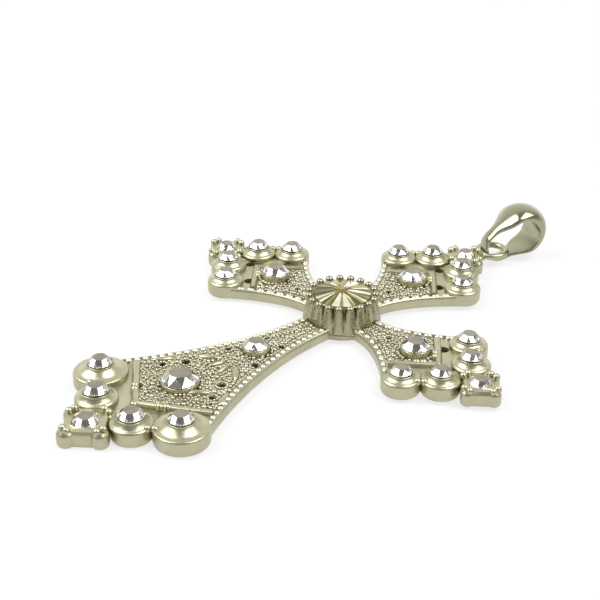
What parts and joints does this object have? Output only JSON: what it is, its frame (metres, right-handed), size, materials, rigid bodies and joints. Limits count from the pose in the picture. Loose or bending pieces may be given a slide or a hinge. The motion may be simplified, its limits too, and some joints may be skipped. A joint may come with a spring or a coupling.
{
  "type": "cross pendant",
  "caption": "Flared cross pendant with lobed ends, beaded openwork-style face, raised glass stones, a fluted centre cup and a hinged tapered bail.",
  "frame": {"origin": "on the flat back of the casting, under the middle of the centre stone", "axes": "+Z out of the front with the stones, +Y up the pendant towards the bail, +X towards the arm on the right when the bail points away from the viewer who looks at the front"},
  "size_m": [0.0542, 0.0812, 0.0081],
  "materials": {
    "cast_metal": "plated zinc casting, satin between the beads and bright on the edges, slightly warm silver",
    "bail_metal": "polished plated metal",
    "clear_stone": "faceted clear glass with a foiled back",
    "tinted_stone": "faceted pale champagne glass with a foiled back"
  },
  "bodies": {
    "cross": {"cross_casting": "cast_metal", "stone_centre": "tinted_stone", "stone_right_mid": "clear_stone", "stone_right_outer_a": "clear_stone", "stone_right_outer_b": "clear_stone", "stone_right_inner_a": "clear_stone", "stone_right_inner_b": "clear_stone", "stone_right_tip": "clear_stone", "stone_top_mid": "clear_stone", "stone_top_outer_a": "clear_stone", "stone_top_outer_b": "clear_stone", "stone_top_inner_a": "clear_stone", "stone_top_inner_b": "clear_stone", "stone_top_tip": "clear_stone", "stone_left_mid": "clear_stone", "stone_left_outer_a": "clear_stone", "stone_left_outer_b": "clear_stone", "stone_left_inner_a": "clear_stone", "stone_left_inner_b": "clear_stone", "stone_left_tip": "clear_stone", "stone_bottom_mid_1": "clear_stone", "stone_bottom_mid_2": "clear_stone", "stone_bottom_outer_a": "clear_stone", "stone_bottom_outer_b": "clear_stone", "stone_bottom_inner_a": "clear_stone", "stone_bottom_inner_b": "clear_stone", "stone_bottom_tip": "clear_stone"},
    "bail": {"bail": "bail_metal"}
  },
  "joints": [
    {"name": "bail_swing", "type": "hinge", "parent": "cross", "child": "bail", "pos_m": [0.0003, 0.0307, 0.0018], "axis": [0.9367, -0.3502, 0], "range_deg": [-80, 75]}
  ]
}
